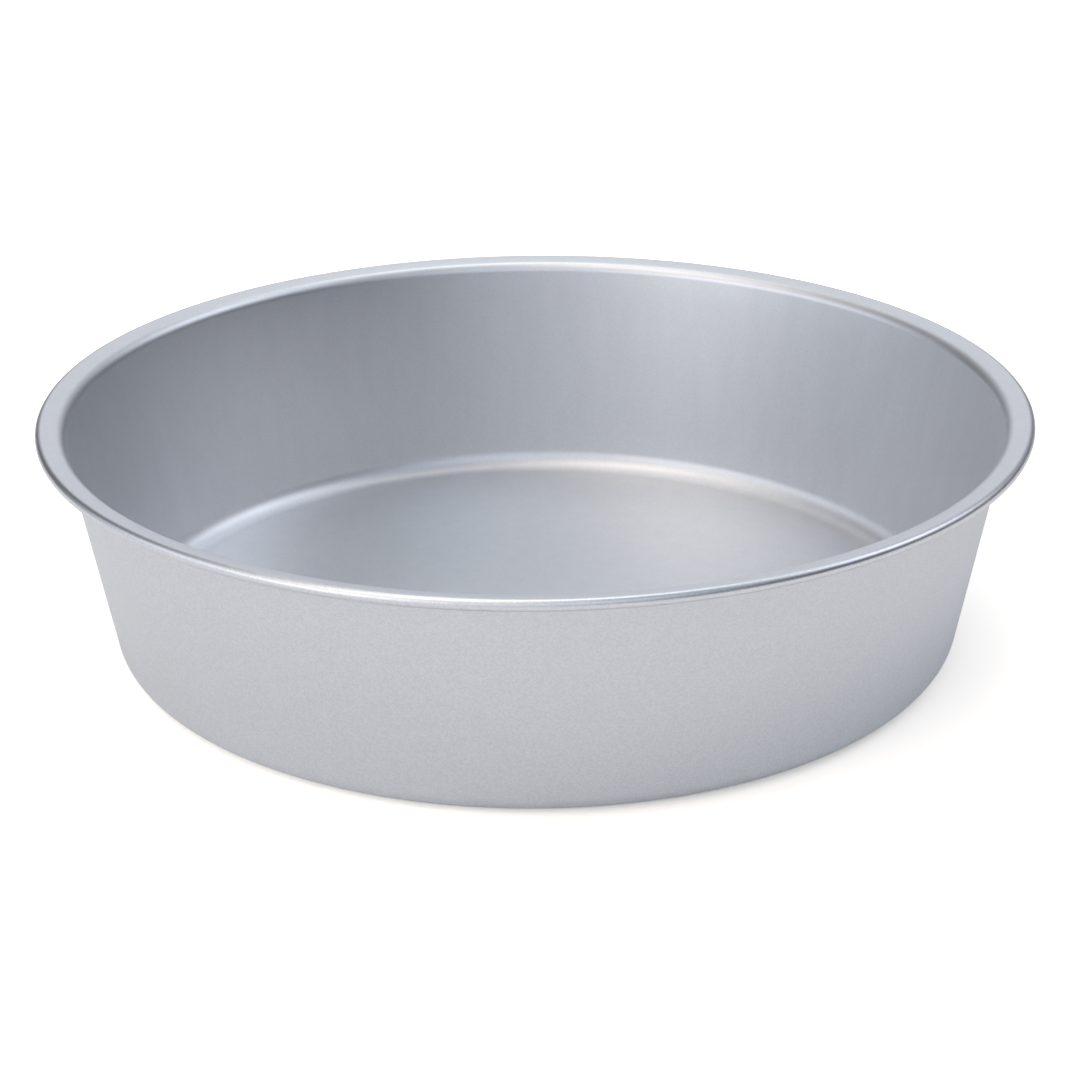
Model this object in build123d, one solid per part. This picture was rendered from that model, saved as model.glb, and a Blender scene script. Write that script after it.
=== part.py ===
from build123d import *
import os
from math import asin, atan2, degrees, pi, tan

# Round cake tin. One thin steel sheet is drawn into a flared dish with a flat floor, bent out
# into a narrow level rim, and its edge is rolled down and back over a steel wire.
# Millimetres. The tin stands on z = 0, and its axis is the z axis.

# Sheet
sheet_thickness = 0.5

# Dish, given on the face that holds the cake: the straight wall's line, carried on
# to the floor's top face and to the rim's top face
mouth_diameter = 230.8
floor_diameter = 209.6
tin_height = 59.5
floor_corner_radius = 6.0

# Rim: the bend from the wall to the level, the level land, and the rolled edge
lip_radius = 5.0
land_width = 1.0
wire_diameter = 1.7
wire_clearance = 0.05
# The rolled sheet's cut edge stops this far short of the land's underside
cut_edge_gap = 0.15
# The wire is cut to length and its ends meet at the back of the tin
wire_end_gap = 0.5

# The wall leans out by a few degrees, and both bends turn the sheet by the rest of a right angle
wall_lean = atan2((mouth_diameter - floor_diameter) / 2, tin_height - sheet_thickness)
half_bend = (pi / 2 - wall_lean) / 2

# Roll: the sheet's upper face becomes its outside, and its underside wraps the wire
wire_bed_radius = wire_diameter / 2 + wire_clearance
roll_radius = wire_bed_radius + sheet_thickness
lip_end_radius = mouth_diameter / 2 + lip_radius * tan(half_bend)
roll_centre = (lip_end_radius + land_width, tin_height - roll_radius)

# Three quarters of a turn bring the sheet to the roll's inner side, and it goes on up
# until the cut edge's highest corner is one gap below the land
roll_turn = 270 + degrees(asin((wire_bed_radius - cut_edge_gap) / roll_radius))

# Both sections are drawn at the back of the tin, from the axis outwards, and turned about it
back_plane = Plane.YZ


def sheet_face(depth):
    """One face of the sheet in half section, from the axis to the cut edge, at a depth into it."""
    # Both corners move out alike as the face goes deeper, so that the wall keeps its thickness
    shift = depth * tan(half_bend)
    dish = FilletPolyline(
        (0, sheet_thickness - depth),
        (floor_diameter / 2 + shift, sheet_thickness - depth),
        (mouth_diameter / 2 + shift, tin_height - depth),
        (roll_centre[0], tin_height - depth),
        radius=[floor_corner_radius + depth, lip_radius - depth],
    )
    roll = CenterArc(roll_centre, roll_radius - depth, 90, -roll_turn)
    return Wire(dish.edges() + roll.edges())


def tin_shell():
    """The drawn sheet: floor, flared wall, level land and rolled edge in one piece."""
    top = sheet_face(0)
    underside = sheet_face(sheet_thickness)
    axis_side = Line(underside @ 0, top @ 0)
    cut_edge = Line(top @ 1, underside @ 1)
    section = make_face([top, cut_edge, underside, axis_side])
    return revolve(back_plane * section, axis=Axis.Z)


def rim_wire():
    """The steel wire in the rolled edge, one turn, with its cut ends at the back."""
    gap_angle = degrees(wire_end_gap / roll_centre[0])
    cross_section = back_plane * Pos(*roll_centre) * Circle(wire_diameter / 2)
    ring = revolve(cross_section, axis=Axis.Z, revolution_arc=360 - gap_angle)
    # The turn starts at the back plane, so half the gap's angle centres the gap on it
    return Rot(0, 0, gap_angle / 2) * ring


os.makedirs("parts", exist_ok=True)
export_step(tin_shell(), "parts/tin_shell.step")
export_step(rim_wire(), "parts/rim_wire.step")
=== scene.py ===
import math
from typing import NamedTuple

import bpy
from bpy.props import FloatProperty, FloatVectorProperty, IntProperty, PointerProperty
from mathutils import Euler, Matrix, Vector


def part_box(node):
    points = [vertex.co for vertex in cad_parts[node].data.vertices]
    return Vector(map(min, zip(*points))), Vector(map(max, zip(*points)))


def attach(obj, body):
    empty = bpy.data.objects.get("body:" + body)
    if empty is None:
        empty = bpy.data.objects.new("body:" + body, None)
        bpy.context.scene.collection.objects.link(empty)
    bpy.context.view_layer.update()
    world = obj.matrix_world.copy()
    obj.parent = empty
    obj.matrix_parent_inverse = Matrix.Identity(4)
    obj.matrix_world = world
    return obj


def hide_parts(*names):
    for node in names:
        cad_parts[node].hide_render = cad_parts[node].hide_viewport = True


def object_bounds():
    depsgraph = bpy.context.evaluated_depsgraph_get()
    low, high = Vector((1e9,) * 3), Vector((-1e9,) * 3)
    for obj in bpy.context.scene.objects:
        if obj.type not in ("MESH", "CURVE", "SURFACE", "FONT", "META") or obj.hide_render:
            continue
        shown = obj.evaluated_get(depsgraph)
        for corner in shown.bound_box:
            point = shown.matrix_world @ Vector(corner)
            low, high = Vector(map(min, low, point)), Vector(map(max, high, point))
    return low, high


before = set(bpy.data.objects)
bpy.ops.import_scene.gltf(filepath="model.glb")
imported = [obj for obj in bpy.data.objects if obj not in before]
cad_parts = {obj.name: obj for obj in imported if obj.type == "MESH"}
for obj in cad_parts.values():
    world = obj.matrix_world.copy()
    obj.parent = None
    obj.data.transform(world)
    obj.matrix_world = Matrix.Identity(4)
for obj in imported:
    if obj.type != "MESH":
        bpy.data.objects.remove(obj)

# A round cake tin: one thin steel sheet drawn into a flared dish, with a silver non-stick coat,
# and its edge rolled over a wire. Metres, z up, and the tin stands on z = 0.

bl_info = {
    "name": "Round Cake Tin",
    "version": (1, 0, 0),
    "blender": (4, 5, 0),
    "location": "3D View > Sidebar > Cake Tin",
    "description": "A drawn and rolled cake tin with its silver coat, on a studio floor",
    "category": "Add Mesh",
}

MM = 0.001
BODY = "root"
SHELL_NODE = "tin_shell"
WIRE_NODE = "rim_wire"

# Which side of the sheet a point is on: 0 where the cake goes, 1 underneath
SIDE = "outside"

# The way from a point of the upper face through the sheet to its underside
THROUGH_SHEET = "through_sheet"

QUARTER_TURN = math.pi / 2

# Keeps the level part of a vector, whose length is the distance from the tin's axis
LEVEL_PART = (1, 1, 0)

# Soft noise and a cell's random shade, which run from 0 to 1, vary about this value
NOISE_MIDDLE = 0.5

# Rows of the mesh have whole numbers, so two faces part half a row before a row's number
HALF_ROW = 0.5

# Levels of finer noise in the coat's patches and in the wire's bloom
COAT_DETAIL = 2.0
BLOOM_DETAIL = 4.0

# Width of the camera's sensor in millimetres, which the lens is given for
SENSOR_WIDTH = 36

cad_low, cad_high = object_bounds()
wire_low, wire_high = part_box(WIRE_NODE)

# The frame gives the height, the rim's edge and the wire, and so the roll that wraps the wire
TIN_HEIGHT = cad_high.z
RIM_RADIUS = cad_high.x
WIRE_RADIUS = (wire_high.z - wire_low.z) / 2
ROLL_CENTRE_RADIUS = wire_high.x - WIRE_RADIUS


def length(name, description, default):
    """A size in metres that the sidebar shows in the scene's own unit."""
    return FloatProperty(
        name=name, description=description, default=default, unit="LENGTH", precision=5
    )


def angle(name, description, degrees):
    """An angle that the sidebar shows in degrees."""
    return FloatProperty(
        name=name, description=description, default=math.radians(degrees), subtype="ANGLE"
    )


def share(name, description, default):
    """A number from 0 to 1."""
    return FloatProperty(
        name=name, description=description, default=default, min=0, max=1, subtype="FACTOR"
    )


def number(name, description, default, **more):
    """A plain number."""
    return FloatProperty(name=name, description=description, default=default, **more)


def count(name, description, default, least=1):
    """A whole number."""
    return IntProperty(name=name, description=description, default=default, min=least)


def colour(name, description, default):
    """A linear colour without alpha."""
    return FloatVectorProperty(
        name=name, description=description, default=default, size=3, min=0, max=1,
        subtype="COLOR",
    )


class CakeTinSheet(bpy.types.PropertyGroup):
    """Sizes of the pressed sheet, on the face that holds the cake."""

    thickness: length("Thickness", "Thickness of the sheet", 0.5 * MM)
    floor_radius: length("Floor Radius", "Where the wall's line meets the floor", 104.8 * MM)
    mouth_radius: length("Mouth Radius", "Where the wall's line meets the rim", 115.4 * MM)
    corner_radius: length("Corner Radius", "Inside radius between floor and wall", 6 * MM)
    lip_radius: length("Lip Radius", "Radius of the bend from the wall to the land", 3 * MM)
    land_slope: angle("Land Slope", "How far the land rises from the lip to the roll", 12)
    height: length("Height", "Height of the tin", TIN_HEIGHT)
    roll_radius: length(
        "Roll Radius", "Outside radius of the rolled edge", RIM_RADIUS - ROLL_CENTRE_RADIUS
    )
    roll_turn: angle("Roll Turn", "How far the edge is rolled round the wire", 300)
    bend_step: angle("Bend Step", "Turn between two rings of the mesh in a bend", 5)
    crease_angle: angle("Crease Angle", "Folds sharper than this look sharp", 40)
    floor_rings: count("Floor Rings", "Rings of faces on the flat floor", 8)
    wall_rings: count("Wall Rings", "Rings of faces up the wall", 8)
    steps_around: count("Steps Around", "Faces round the tin", 360, least=12)
    weld_distance: length("Weld Distance", "Points closer than this become one", 0.0005 * MM)


class CakeTinFinish(bpy.types.PropertyGroup):
    """Colours, gloss and grain of the silver coat and of the wire."""

    coat_colour: colour("Coat Colour", "Colour of the silver coat", (0.70, 0.71, 0.73))
    inside_roughness: share("Inside Roughness", "Gloss of the coat inside, 0 for a mirror", 0.45)
    outside_roughness: share("Outside Roughness", "Gloss of the coat outside", 0.5)
    edge_roughness: share("Edge Roughness", "Gloss of the edge, smoothed by its rolling", 0.37)
    edge_blend: length("Edge Blend", "Width over which the edge's gloss sets in", 0.6 * MM)
    roughness_change: share("Roughness Change", "How far the gloss drifts in patches", 0.04)
    patch_size: length("Patch Size", "Width of one patch of the coat's gloss", 12 * MM)
    flake_size: length("Flake Size", "Width of one spot of the coat's grain", 0.35 * MM)
    flake_contrast: share("Flake Contrast", "How far spots differ in brightness outside", 0.12)
    flake_gloss: share("Flake Gloss", "How far spots differ in gloss outside", 0.06)
    inside_grain: share("Inside Grain", "Grain inside the tin as a share of the outside", 0.5)
    mark_size: length("Mark Size", "Width of one faint mark that the drawing left", 5 * MM)
    mark_stretch: share("Mark Stretch", "How little the marks change up the wall", 0.08)
    mark_contrast: share("Mark Contrast", "How far the marks differ in brightness", 0.07)
    peel_size: length("Peel Size", "Width of the coat's faint ripple", 1.4 * MM)
    peel_height: length("Peel Height", "Height of the coat's faint ripple", 0.004 * MM)
    wire_colour: colour("Wire Colour", "Colour of the bare steel wire", (0.5, 0.49, 0.48))
    wire_roughness: share("Wire Roughness", "Gloss of the bright steel", 0.35)
    bloom_size: length("Bloom Size", "Width of a dull patch on the wire", 3 * MM)
    bloom_roughness: share("Bloom Roughness", "How much rougher a dull patch is", 0.3)
    bloom_shade: share("Bloom Shade", "Brightness of a dull patch", 0.75)
    bloom_full: share("Bloom Full", "Noise up to this is a dull patch", 0.35)
    bloom_gone: share("Bloom Gone", "Noise from this on is bright wire", 0.65)


class CakeTinStudio(bpy.types.PropertyGroup):
    """Camera, floor and picture."""

    camera_distance: length("Camera Distance", "From the camera to the base", 5.5 * RIM_RADIUS)
    camera_elevation: angle("Camera Elevation", "Height above the horizon", 24.69)
    camera_roll: angle("Camera Roll", "Lean of the camera to one side", -0.50)
    lens: number("Lens", "Focal length for a 36 mm sensor", 88.28, subtype="DISTANCE_CAMERA")
    picture_width: number("Picture Width", "Pixels across the picture", 1066)
    base_pixel_x: number("Base Pixel X", "Where the base's centre lies in the picture", 536.7)
    base_pixel_y: number("Base Pixel Y", "Where the base's centre lies in the picture", 617.0)
    floor_size: length("Floor Size", "Side of the square floor", 4.0)
    floor_gap: length("Floor Gap", "How far the floor lies below the base", 0.05 * MM)
    floor_colour: colour("Floor Colour", "Colour of the matt floor", (0.9, 0.9, 0.9))
    floor_gain: number("Floor Gain", "How light the camera sees the lit floor", 1.5)
    floor_tint: colour("Floor Tint", "Colour that makes its shadow neutral", (1.0, 0.94, 0.85))
    floor_glow: share("Floor Glow", "White that the camera sees added to the floor", 0.2)
    mirror_share: share("Mirror Share", "How much of that white the tin mirrors", 0.1)


class Softbox(NamedTuple):
    """A soft patch of light on the room's dome, in degrees, azimuth from the front to the right."""

    azimuth: float
    elevation: float
    spread: float
    light: tuple


KEY_BOX = Softbox(azimuth=315, elevation=20, spread=22, light=(2.32, 2.36, 2.41))
KEY_TOP = Softbox(azimuth=300, elevation=68, spread=16, light=(3.33, 3.01, 2.75))
LEFT_BOX = Softbox(azimuth=270, elevation=20, spread=22, light=(1.23, 1.29, 1.46))
FRONT_BOX = Softbox(azimuth=0, elevation=20, spread=22, light=(0.81, 0.83, 0.90))
FRONT_TOP = Softbox(azimuth=22, elevation=45, spread=20, light=(0.86, 0.98, 1.17))
RIGHT_BOX = Softbox(azimuth=110, elevation=44, spread=17, light=(2.55, 2.66, 2.95))
BACKDROP = Softbox(azimuth=180, elevation=20, spread=22, light=(1.03, 1.05, 1.14))
BACK_TOP = Softbox(azimuth=180, elevation=68, spread=16, light=(2.74, 2.92, 3.01))
SOFTBOXES = (
    KEY_BOX, KEY_TOP, LEFT_BOX, FRONT_BOX, FRONT_TOP, RIGHT_BOX, BACKDROP, BACK_TOP
)


class Term:
    """A socket's value. Its operators add the Math nodes that work them out."""

    def __init__(self, graph, socket):
        self.graph = graph
        self.socket = socket

    def math(self, operation, *values, clamp=False):
        inputs = dict(enumerate(values))
        settings = {"operation": operation, "use_clamp": clamp}
        return self.graph.node("ShaderNodeMath", settings, inputs)[0]

    def __add__(self, other):
        return self.math("ADD", self, other)

    def __radd__(self, other):
        return self.math("ADD", other, self)

    def __sub__(self, other):
        return self.math("SUBTRACT", self, other)

    def __rsub__(self, other):
        return self.math("SUBTRACT", other, self)

    def __mul__(self, other):
        return self.math("MULTIPLY", self, other)

    def __rmul__(self, other):
        return self.math("MULTIPLY", other, self)

    def __truediv__(self, other):
        return self.math("DIVIDE", self, other)

    def __gt__(self, other):
        return self.math("GREATER_THAN", self, other)

    def __mod__(self, other):
        return self.math("FLOORED_MODULO", self, other)

    def floor(self):
        return self.math("FLOOR", self)

    def exp(self):
        return self.math("EXPONENT", self)

    def clamped(self):
        return self.math("ADD", self, 0, clamp=True)


class Outputs:
    """The outputs of one node, by name or by number."""

    def __init__(self, graph, node):
        self.graph = graph
        self.sockets = node.outputs

    def __getitem__(self, key):
        return Term(self.graph, self.sockets[key])


class Graph:
    """A shader or geometry node tree, with one method that adds any node."""

    def __init__(self, tree):
        self.tree = tree

    def node(self, kind, settings, inputs):
        """Adds a node, sets it up, then gives its sockets values or links."""
        node = self.tree.nodes.new(kind)
        for name, value in settings.items():
            if name == "stops":
                self.set_stops(node.color_ramp, value)
            else:
                setattr(node, name, value)
        for key, value in inputs.items():
            if isinstance(value, Term):
                self.tree.links.new(value.socket, node.inputs[key])
            else:
                node.inputs[key].default_value = value
        return Outputs(self, node)

    def set_stops(self, ramp, stops):
        """Gives a colour ramp its (position, grey) stops."""
        while len(ramp.elements) < len(stops):
            ramp.elements.new(1)
        for element, (position, grey) in zip(ramp.elements, stops):
            element.position = position
            element.color = (grey, grey, grey, 1)

    def vector(self, operation, *values):
        """Works out vectors or colours."""
        settings = {"operation": operation}
        return self.node("ShaderNodeVectorMath", settings, dict(enumerate(values)))

    def shaded(self, base, shade):
        """A colour or vector made longer or shorter by a number that varies over the surface."""
        scale = {"operation": "SCALE"}
        return self.node("ShaderNodeVectorMath", scale, {0: base, "Scale": shade})[0]


def shader_graph(name):
    """A new material and its empty graph."""
    material = bpy.data.materials.new(name)
    material.use_nodes = True
    material.node_tree.nodes.clear()
    return material, Graph(material.node_tree)


def surface(graph, shader):
    """Makes a shader the surface of the graph's material."""
    graph.node("ShaderNodeOutputMaterial", {}, {"Surface": shader})


def noise(graph, place, size, detail):
    """Soft noise from 0 to 1 with spots of a given width."""
    inputs = {"Vector": place, "Scale": 1 / size, "Detail": detail}
    return graph.node("ShaderNodeTexNoise", {}, inputs)["Fac"]


def silver_coat():
    """Silver-pigmented non-stick coat: a satin metal with the fine grain of its flakes."""
    finish = bpy.context.scene.cake_tin_finish
    material, graph = shader_graph("satin_silver")
    place = graph.node("ShaderNodeTexCoord", {}, {})["Object"]
    outside = graph.node("ShaderNodeAttribute", {"attribute_name": SIDE}, {})["Fac"]
    level = graph.vector("MULTIPLY", place, LEVEL_PART)[0]
    radius = graph.vector("LENGTH", level)["Value"]
    rolled = ((radius - ROLL_CENTRE_RADIUS) / finish.edge_blend).clamped()

    # Each flake catches the light a little differently, more so outside and on the rolled edge
    worked = (outside + rolled).clamped()
    grain = finish.inside_grain + worked * (1 - finish.inside_grain)
    cells = graph.node(
        "ShaderNodeTexVoronoi", {}, {"Vector": place, "Scale": 1 / finish.flake_size}
    )
    flake = graph.node("ShaderNodeSeparateColor", {}, {0: cells["Color"]})[0] - NOISE_MIDDLE

    # Drawing the sheet leaves faint upright marks inside
    upright = graph.vector("MULTIPLY", place, (1, 1, finish.mark_stretch))[0]
    streak = noise(graph, upright, finish.mark_size, COAT_DETAIL) - NOISE_MIDDLE
    mark = streak * (1 - outside)
    shade = 1 + flake * grain * finish.flake_contrast + mark * finish.mark_contrast

    # Rolling the edge smooths it, and elsewhere the gloss drifts a little from patch to patch
    patch = noise(graph, place, finish.patch_size, COAT_DETAIL) - NOISE_MIDDLE
    flat_roughness = (
        finish.inside_roughness
        + outside * (finish.outside_roughness - finish.inside_roughness)
        + patch * finish.roughness_change
        + flake * grain * finish.flake_gloss
    )
    roughness = flat_roughness + rolled * (finish.edge_roughness - flat_roughness)
    peel = noise(graph, place, finish.peel_size, COAT_DETAIL)
    relief = graph.node(
        "ShaderNodeBump", {}, {"Height": peel, "Distance": finish.peel_height, "Strength": 1.0}
    )["Normal"]
    shader = graph.node(
        "ShaderNodeBsdfPrincipled",
        {},
        {
            "Base Color": graph.shaded(tuple(finish.coat_colour), shade),
            "Metallic": 1.0,
            "Roughness": roughness,
            "Normal": relief,
        },
    )["BSDF"]
    surface(graph, shader)
    return material


def wire_steel():
    """Drawn steel wire with a dull zinc bloom in patches."""
    finish = bpy.context.scene.cake_tin_finish
    material, graph = shader_graph("drawn_wire")
    place = graph.node("ShaderNodeTexCoord", {}, {})["Object"]
    bloom = noise(graph, place, finish.bloom_size, BLOOM_DETAIL)
    stops = [(finish.bloom_full, 0), (finish.bloom_gone, 1)]
    bright = graph.node("ShaderNodeValToRGB", {"stops": stops}, {"Fac": bloom})["Color"]
    shade = finish.bloom_shade + bright * (1 - finish.bloom_shade)
    shader = graph.node(
        "ShaderNodeBsdfPrincipled",
        {},
        {
            "Base Color": graph.shaded(tuple(finish.wire_colour), shade),
            "Metallic": 1.0,
            "Roughness": finish.wire_roughness + (1 - bright) * finish.bloom_roughness,
        },
    )["BSDF"]
    surface(graph, shader)
    return material


def arc(centre, radius, start, turn, step):
    """Points and outward directions along an arc in the section's plane, its start left out."""
    steps = math.ceil(abs(turn) / step)
    for i in range(1, steps + 1):
        at = start + turn * i / steps
        outward = Vector((math.cos(at), 0, math.sin(at)))
        yield centre + outward * radius, outward


def sheet_line(sheet):
    """The sheet's upper face in half section, from the axis to the cut edge.

    Gives its points, and at each point the direction through the sheet to its underside.
    """
    lean = math.atan2(sheet.mouth_radius - sheet.floor_radius, sheet.height - sheet.thickness)
    bend = QUARTER_TURN - lean
    slope = sheet.land_slope
    corner_setback = sheet.corner_radius * math.tan(bend / 2)
    corner_height = sheet.thickness + sheet.corner_radius
    corner = Vector((sheet.floor_radius - corner_setback, 0, corner_height))
    roll = Vector((RIM_RADIUS - sheet.roll_radius, 0, sheet.height - sheet.roll_radius))
    down = Vector((0, 0, -1))

    # The lip's bend touches the wall's line and the land's, which is a tangent of the roll
    up_wall = Vector((math.sin(lean), 0, math.cos(lean)))
    through_wall = Vector((math.cos(lean), 0, -math.sin(lean)))
    through_land = Vector((math.sin(slope), 0, -math.cos(slope)))
    land_end = roll - through_land * sheet.roll_radius
    mouth = Vector((sheet.mouth_radius, 0, sheet.height))
    rise = (land_end - mouth).dot(through_land) / up_wall.dot(through_land)
    both_ways = (through_wall + through_land) / (1 + through_wall.dot(through_land))
    lip = mouth + up_wall * rise + both_ways * sheet.lip_radius

    line = []
    for i in range(sheet.floor_rings + 1):
        line.append((Vector((corner.x * i / sheet.floor_rings, 0, sheet.thickness)), down))
    line.extend(arc(corner, sheet.corner_radius, -QUARTER_TURN, bend, sheet.bend_step))
    wall_foot = line[-1][0]
    wall_head = lip - through_wall * sheet.lip_radius
    for i in range(1, sheet.wall_rings + 1):
        line.append((wall_foot.lerp(wall_head, i / sheet.wall_rings), through_wall))
    lip_bend = arc(lip, sheet.lip_radius, math.pi - lean, slope - bend, sheet.bend_step)
    line.extend((point, -outward) for point, outward in lip_bend)
    line.append((land_end, through_land))
    roll_start = QUARTER_TURN + slope
    rolled_edge = arc(roll, sheet.roll_radius, roll_start, -sheet.roll_turn, sheet.bend_step)
    line.extend((point, -outward) for point, outward in rolled_edge)
    return line


def section_object(name, line):
    """The section's points as a mesh, with the way through the sheet kept as an attribute."""
    mesh = bpy.data.meshes.new(name)
    edges = [(i, i + 1) for i in range(len(line) - 1)]
    mesh.from_pydata([point for point, through in line], edges, [])
    through_sheet = mesh.attributes.new(THROUGH_SHEET, "FLOAT_VECTOR", "POINT")
    for item, (point, through) in zip(through_sheet.data, line):
        item.vector = through
    section = bpy.data.objects.new(name, mesh)
    bpy.context.scene.collection.objects.link(section)
    return section


def turned_sheet_tree():
    """Geometry nodes that give a section line its thickness and turn it about the z axis."""
    tree = bpy.data.node_groups.new("Turned Sheet", "GeometryNodeTree")
    tree.interface.new_socket("Section", in_out="INPUT", socket_type="NodeSocketGeometry")
    tree.interface.new_socket("Thickness", in_out="INPUT", socket_type="NodeSocketFloat")
    tree.interface.new_socket("Steps Around", in_out="INPUT", socket_type="NodeSocketInt")
    tree.interface.new_socket("Weld Distance", in_out="INPUT", socket_type="NodeSocketFloat")
    tree.interface.new_socket("Crease Angle", in_out="INPUT", socket_type="NodeSocketFloat")
    tree.interface.new_socket("Material", in_out="INPUT", socket_type="NodeSocketMaterial")
    tree.interface.new_socket("Geometry", in_out="OUTPUT", socket_type="NodeSocketGeometry")
    graph = Graph(tree)
    given = graph.node("NodeGroupInput", {}, {})
    section = given["Section"]
    size = graph.node("GeometryNodeAttributeDomainSize", {}, {"Geometry": section})
    points = size["Point Count"]
    rows = 2 * points
    columns = given["Steps Around"] + 1
    grid = graph.node("GeometryNodeMeshGrid", {}, {"Vertices X": columns, "Vertices Y": rows})

    # Rows run out along the upper face and back along the underside, and columns run round
    index = graph.node("GeometryNodeInputIndex", {}, {})["Index"]
    row = index % rows
    column = (index / rows).floor()
    under = row > points - HALF_ROW
    point = row + under * (rows - 1 - 2 * row)

    def sampled(value):
        """A vector on the section's point that this point of the grid stands for."""
        settings = {"data_type": "FLOAT_VECTOR", "domain": "POINT"}
        inputs = {"Geometry": section, "Value": value, "Index": point}
        return graph.node("GeometryNodeSampleIndex", settings, inputs)[0]

    position = graph.node("GeometryNodeInputPosition", {}, {})["Position"]
    vector = {"data_type": "FLOAT_VECTOR"}
    through = graph.node("GeometryNodeInputNamedAttribute", vector, {"Name": THROUGH_SHEET})[0]
    inset = graph.shaded(sampled(through), under * given["Thickness"])
    flat = graph.vector("ADD", sampled(position), inset)[0]
    turn = column / given["Steps Around"] * math.tau
    about_z = {"rotation_type": "Z_AXIS"}
    turned = graph.node("ShaderNodeVectorRotate", about_z, {"Vector": flat, "Angle": turn})[0]
    placed = graph.node(
        "GeometryNodeSetPosition", {}, {"Geometry": grid["Mesh"], "Position": turned}
    )[0]
    sided = graph.node(
        "GeometryNodeStoreNamedAttribute",
        {"data_type": "FLOAT", "domain": "POINT"},
        {"Geometry": placed, "Name": SIDE, "Value": under},
    )[0]
    welded = graph.node(
        "GeometryNodeMergeByDistance", {}, {"Geometry": sided, "Distance": given["Weld Distance"]}
    )[0]
    outward = graph.node("GeometryNodeFlipFaces", {}, {"Mesh": welded})[0]
    smooth = graph.node(
        "GeometryNodeSetShadeSmooth",
        {"domain": "FACE"},
        {"Geometry": outward, "Shade Smooth": True},
    )[0]
    fold = graph.node("GeometryNodeInputMeshEdgeAngle", {}, {})["Unsigned Angle"]
    sharp = fold > given["Crease Angle"]
    creased = graph.node(
        "GeometryNodeSetShadeSmooth",
        {"domain": "EDGE"},
        {"Geometry": smooth, "Selection": sharp, "Shade Smooth": False},
    )[0]
    real = graph.node("GeometryNodeRealizeInstances", {}, {"Geometry": creased})[0]
    finished = graph.node(
        "GeometryNodeSetMaterial", {}, {"Geometry": real, "Material": given["Material"]}
    )[0]
    graph.node("NodeGroupOutput", {}, {"Geometry": finished})
    return tree


def made_real(source, tree, values, name):
    """Runs a node tree on an object with named input values, and gives a plain piece."""
    modifier = source.modifiers.new(tree.name, "NODES")
    modifier.node_group = tree
    for socket in tree.interface.items_tree:
        if socket.in_out == "INPUT" and socket.name in values:
            modifier[socket.identifier] = values[socket.name]
    depsgraph = bpy.context.evaluated_depsgraph_get()
    evaluated = source.evaluated_get(depsgraph)
    mesh = bpy.data.meshes.new_from_object(evaluated, depsgraph=depsgraph)
    mesh.name = name
    source.modifiers.remove(modifier)
    bpy.data.objects.remove(source)
    if not mesh.polygons:
        raise RuntimeError(tree.name + " gave no faces for " + name)

    # Set Material leaves an empty first slot, which the piece doesn't need
    while mesh.materials[0] is None:
        mesh.materials.pop(index=0)
    piece = bpy.data.objects.new(name, mesh)
    bpy.context.scene.collection.objects.link(piece)
    return piece


class CAKETIN_OT_press_sheet(bpy.types.Operator):
    """Presses the sheet into the dish and rolls its edge"""

    bl_idname = "cake_tin.press_sheet"
    bl_label = "Press Sheet"

    def execute(self, context):
        sheet = context.scene.cake_tin_sheet
        section = section_object("section", sheet_line(sheet))
        values = {
            "Thickness": sheet.thickness,
            "Steps Around": sheet.steps_around,
            "Weld Distance": sheet.weld_distance,
            "Crease Angle": sheet.crease_angle,
            "Material": silver_coat(),
        }
        shell = made_real(section, turned_sheet_tree(), values, "pressed_tin")
        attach(shell, BODY)
        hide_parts(SHELL_NODE)
        return {"FINISHED"}


class CAKETIN_OT_finish_wire(bpy.types.Operator):
    """Gives the wire in the rolled edge its steel"""

    bl_idname = "cake_tin.finish_wire"
    bl_label = "Finish Wire"

    def execute(self, context):
        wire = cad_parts[WIRE_NODE]
        wire.data.materials.clear()
        wire.data.materials.append(wire_steel())
        return {"FINISHED"}


def studio_floor_material(studio):
    """Pale and matt, which the camera sees lifted to white with the tin's shadow kept."""
    material, graph = shader_graph("studio_floor")
    matt = graph.node("ShaderNodeBsdfDiffuse", {}, {"Color": (*studio.floor_colour, 1)})["BSDF"]
    shown_colour = (*(studio.floor_tint * studio.floor_gain), 1)
    shown = graph.node("ShaderNodeBsdfDiffuse", {}, {"Color": shown_colour})["BSDF"]
    glow = graph.node("ShaderNodeEmission", {}, {"Strength": studio.floor_glow})["Emission"]
    white = graph.node("ShaderNodeAddShader", {}, {0: shown, 1: glow})[0]
    path = graph.node("ShaderNodeLightPath", {}, {})
    mirrored = path["Is Glossy Ray"] + path["Is Transmission Ray"]
    seen = (path["Is Camera Ray"] + mirrored * studio.mirror_share).clamped()
    surface(graph, graph.node("ShaderNodeMixShader", {}, {0: seen, 1: matt, 2: white})[0])
    return material


def add_floor(studio):
    """The white table, a hair below the tin's base so that the two faces don't flicker."""
    half = studio.floor_size / 2
    ways = ((-1, -1), (1, -1), (1, 1), (-1, 1))
    corners = [(half * x, half * y, -studio.floor_gap) for x, y in ways]
    mesh = bpy.data.meshes.new("studio_floor")
    mesh.from_pydata(corners, [], [(0, 1, 2, 3)])
    mesh.materials.append(studio_floor_material(studio))
    floor = bpy.data.objects.new("studio_floor", mesh)
    bpy.context.scene.collection.objects.link(floor)


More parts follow.
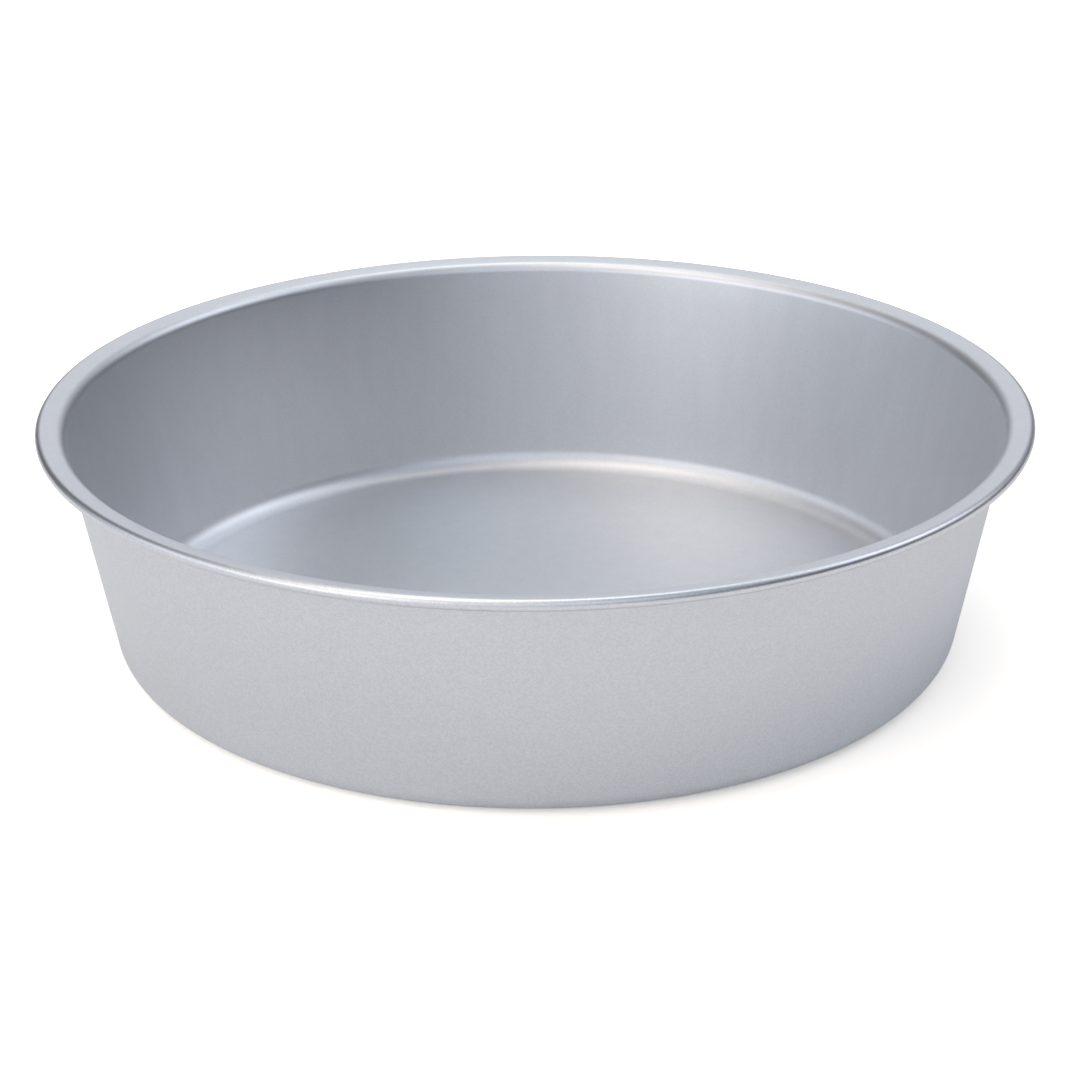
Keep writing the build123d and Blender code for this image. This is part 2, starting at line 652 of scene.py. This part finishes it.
def box_light(graph, direction, box):
    """The light that one soft box sends from each direction: full at its middle, then fading."""
    azimuth = math.radians(box.azimuth)
    elevation = math.radians(box.elevation)
    across = math.cos(elevation)
    middle = Vector((math.sin(azimuth) * across, -math.cos(azimuth) * across, math.sin(elevation)))
    near = graph.vector("DOT_PRODUCT", direction, middle)["Value"]
    glow = ((near - 1) / (1 - math.cos(math.radians(box.spread)))).exp()
    return graph.shaded(box.light, glow)


def set_world():
    """A dark room that soft boxes light from all round, and that the camera sees as white."""
    world = bpy.data.worlds.new("studio_room")
    bpy.context.scene.world = world
    world.use_nodes = True
    world.node_tree.nodes.clear()
    graph = Graph(world.node_tree)
    direction = graph.node("ShaderNodeTexCoord", {}, {})["Generated"]
    light = (0, 0, 0)
    for box in SOFTBOXES:
        light = graph.vector("ADD", light, box_light(graph, direction, box))[0]
    seen = graph.node("ShaderNodeLightPath", {}, {})["Is Camera Ray"]
    room = graph.node("ShaderNodeBackground", {}, {"Color": light})["Background"]
    white = graph.node("ShaderNodeBackground", {}, {"Color": (1, 1, 1, 1)})["Background"]
    both = graph.node("ShaderNodeMixShader", {}, {0: seen, 1: room, 2: white})[0]
    graph.node("ShaderNodeOutputWorld", {}, {"Surface": both})


def add_camera(studio):
    """A long lens in front of the tin, at the picture's angle."""
    data = bpy.data.cameras.new("camera")
    data.sensor_width = SENSOR_WIDTH
    data.lens = studio.lens
    middle = studio.picture_width / 2
    data.shift_x = (middle - studio.base_pixel_x) / studio.picture_width
    data.shift_y = (studio.base_pixel_y - middle) / studio.picture_width
    camera = bpy.data.objects.new("camera", data)
    elevation = studio.camera_elevation
    towards = Vector((0, -math.cos(elevation), math.sin(elevation)))
    camera.location = towards * studio.camera_distance
    camera.rotation_euler = Euler((QUARTER_TURN - elevation, 0, 0))
    camera.rotation_euler.rotate_axis("Z", studio.camera_roll)
    bpy.context.scene.collection.objects.link(camera)
    bpy.context.scene.camera = camera


class CAKETIN_OT_set_stage(bpy.types.Operator):
    """Sets the floor, the soft boxes and the camera"""

    bl_idname = "cake_tin.set_stage"
    bl_label = "Set Stage"

    def execute(self, context):
        studio = context.scene.cake_tin_studio
        add_floor(studio)
        set_world()
        add_camera(studio)
        context.scene.view_settings.view_transform = "Standard"
        return {"FINISHED"}


class CAKETIN_PT_sidebar(bpy.types.Panel):
    """The tin's sizes, finishes and steps"""

    bl_label = "Round Cake Tin"
    bl_idname = "CAKETIN_PT_sidebar"
    bl_space_type = "VIEW_3D"
    bl_region_type = "UI"
    bl_category = "Cake Tin"

    def draw(self, context):
        for group_name, group_class in GROUPS.items():
            group = getattr(context.scene, group_name)
            box = self.layout.box()
            for name in group_class.__annotations__:
                box.prop(group, name)
        for operator in OPERATORS:
            self.layout.operator(operator.bl_idname)


GROUPS = {
    "cake_tin_sheet": CakeTinSheet,
    "cake_tin_finish": CakeTinFinish,
    "cake_tin_studio": CakeTinStudio,
}
OPERATORS = (CAKETIN_OT_press_sheet, CAKETIN_OT_finish_wire, CAKETIN_OT_set_stage)
CLASSES = (*GROUPS.values(), *OPERATORS, CAKETIN_PT_sidebar)


def register():
    for cls in CLASSES:
        bpy.utils.register_class(cls)
    for name, group in GROUPS.items():
        setattr(bpy.types.Scene, name, PointerProperty(type=group))


def unregister():
    for name in GROUPS:
        delattr(bpy.types.Scene, name)
    for cls in reversed(CLASSES):
        bpy.utils.unregister_class(cls)


def main():
    """Builds the tin on its stage."""
    register()
    bpy.ops.cake_tin.press_sheet()
    bpy.ops.cake_tin.finish_wire()
    bpy.ops.cake_tin.set_stage()


if __name__ == "__main__":
    main()
